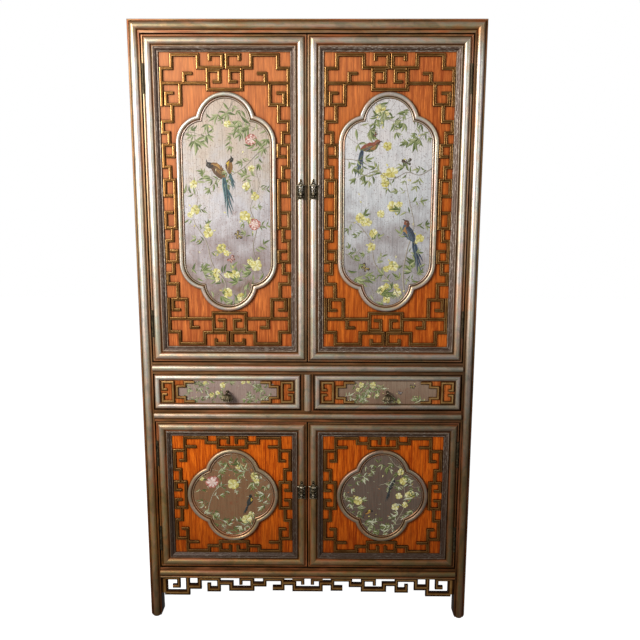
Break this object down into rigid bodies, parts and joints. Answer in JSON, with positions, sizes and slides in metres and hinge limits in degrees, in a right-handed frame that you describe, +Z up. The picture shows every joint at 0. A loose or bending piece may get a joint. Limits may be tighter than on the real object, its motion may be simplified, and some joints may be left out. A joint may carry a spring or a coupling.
{
  "type": "chinoiserie armoire",
  "caption": "Tall gilded armoire with fretwork and lobed medallions on hinged doors, drawers between upper and lower cupboards, and a pierced apron between square legs.",
  "frame": {"origin": "on the floor, under the middle of the bounding box", "axes": "+Z up, front toward -Y, +X toward the object's right as seen from the front"},
  "size_m": [1.165, 0.6004, 2.1],
  "materials": {
    "silver_leaf": "worn silver-gold leaf over orange bole, satin",
    "silver_ring": "worn silver leaf with reddish specks, satin",
    "gold_fret": "gold leaf with a brown glaze in the edges, satin",
    "orange_lacquer": "orange lacquer with fine upright strokes, satin",
    "dark_moulding": "dark brown glaze over silver leaf, satin",
    "dark_wood": "stained, matt",
    "inner_wood": "stained, satin",
    "aged_brass": "darkened with age, rubbed on the edges"
  },
  "bodies": {
    "case": {"posts": "silver_leaf", "front_rails": "silver_leaf", "drawer_divider": "silver_leaf", "side_rails": "silver_leaf", "side_panels": "orange_lacquer", "rear_rails": "dark_wood", "back_panels": "dark_wood", "top_board": "dark_wood", "case_boards": "inner_wood", "drawer_partition": "inner_wood", "shelves": "inner_wood", "inner_strips": "inner_wood", "apron_fret": "gold_fret", "case_hinges": "aged_brass"},
    "upper_left_door": {"upper_left_frame": "silver_leaf", "upper_left_moulding": "dark_moulding", "upper_left_panel": "orange_lacquer", "upper_left_fret": "gold_fret", "upper_left_ring": "silver_ring", "upper_left_hinges": "aged_brass", "upper_left_plate": "aged_brass"},
    "upper_left_pull": {"upper_left_drop": "aged_brass"},
    "upper_right_door": {"upper_right_frame": "silver_leaf", "upper_right_moulding": "dark_moulding", "upper_right_panel": "orange_lacquer", "upper_right_fret": "gold_fret", "upper_right_ring": "silver_ring", "upper_right_hinges": "aged_brass", "upper_right_plate": "aged_brass"},
    "upper_right_pull": {"upper_right_drop": "aged_brass"},
    "lower_left_door": {"lower_left_frame": "silver_leaf", "lower_left_moulding": "dark_moulding", "lower_left_panel": "orange_lacquer", "lower_left_fret": "gold_fret", "lower_left_ring": "silver_ring", "lower_left_hinges": "aged_brass", "lower_left_plate": "aged_brass"},
    "lower_left_pull": {"lower_left_drop": "aged_brass"},
    "lower_right_door": {"lower_right_frame": "silver_leaf", "lower_right_moulding": "dark_moulding", "lower_right_panel": "orange_lacquer", "lower_right_fret": "gold_fret", "lower_right_ring": "silver_ring", "lower_right_hinges": "aged_brass", "lower_right_plate": "aged_brass"},
    "lower_right_pull": {"lower_right_drop": "aged_brass"},
    "left_drawer": {"left_drawer_front": "silver_leaf", "left_drawer_fret": "gold_fret", "left_drawer_box": "inner_wood", "left_drawer_bottom": "inner_wood", "left_drawer_rosette": "aged_brass"},
    "left_drawer_pull": {"left_drawer_drop": "aged_brass"},
    "right_drawer": {"right_drawer_front": "silver_leaf", "right_drawer_fret": "gold_fret", "right_drawer_box": "inner_wood", "right_drawer_bottom": "inner_wood", "right_drawer_rosette": "aged_brass"},
    "right_drawer_pull": {"right_drawer_drop": "aged_brass"}
  },
  "joints": [
    {"name": "upper_left_door_swing", "type": "hinge", "parent": "case", "child": "upper_left_door", "pos_m": [-0.5355, -0.27175, 0.967], "axis": [0, 0, -1], "range_deg": [0, 120]},
    {"name": "upper_left_pull_swing", "type": "hinge", "parent": "upper_left_door", "child": "upper_left_pull", "pos_m": [-0.021, -0.28285, 1.573], "axis": [-1, 0, 0], "range_deg": [0, 75]},
    {"name": "upper_right_door_swing", "type": "hinge", "parent": "case", "child": "upper_right_door", "pos_m": [0.5355, -0.27175, 0.967], "axis": [0, 0, 1], "range_deg": [0, 120]},
    {"name": "upper_right_pull_swing", "type": "hinge", "parent": "upper_right_door", "child": "upper_right_pull", "pos_m": [0.021, -0.28285, 1.573], "axis": [-1, 0, 0], "range_deg": [0, 75]},
    {"name": "lower_left_door_swing", "type": "hinge", "parent": "case", "child": "lower_left_door", "pos_m": [-0.5355, -0.27175, 0.192], "axis": [0, 0, -1], "range_deg": [0, 120]},
    {"name": "lower_left_pull_swing", "type": "hinge", "parent": "lower_left_door", "child": "lower_left_pull", "pos_m": [-0.021, -0.28285, 0.51], "axis": [-1, 0, 0], "range_deg": [0, 75]},
    {"name": "lower_right_door_swing", "type": "hinge", "parent": "case", "child": "lower_right_door", "pos_m": [0.5355, -0.27175, 0.192], "axis": [0, 0, 1], "range_deg": [0, 120]},
    {"name": "lower_right_pull_swing", "type": "hinge", "parent": "lower_right_door", "child": "lower_right_pull", "pos_m": [0.021, -0.28285, 0.51], "axis": [-1, 0, 0], "range_deg": [0, 75]},
    {"name": "left_drawer_slide", "type": "slide", "parent": "case", "child": "left_drawer", "axis": [0, -1, 0], "range_m": [0, 0.38]},
    {"name": "left_drawer_pull_swing", "type": "hinge", "parent": "left_drawer", "child": "left_drawer_pull", "pos_m": [-0.282, -0.28375, 0.8605], "axis": [-1, 0, 0], "range_deg": [0, 75]},
    {"name": "right_drawer_slide", "type": "slide", "parent": "case", "child": "right_drawer", "axis": [0, -1, 0], "range_m": [0, 0.38]},
    {"name": "right_drawer_pull_swing", "type": "hinge", "parent": "right_drawer", "child": "right_drawer_pull", "pos_m": [0.282, -0.28375, 0.8605], "axis": [-1, 0, 0], "range_deg": [0, 75]}
  ]
}
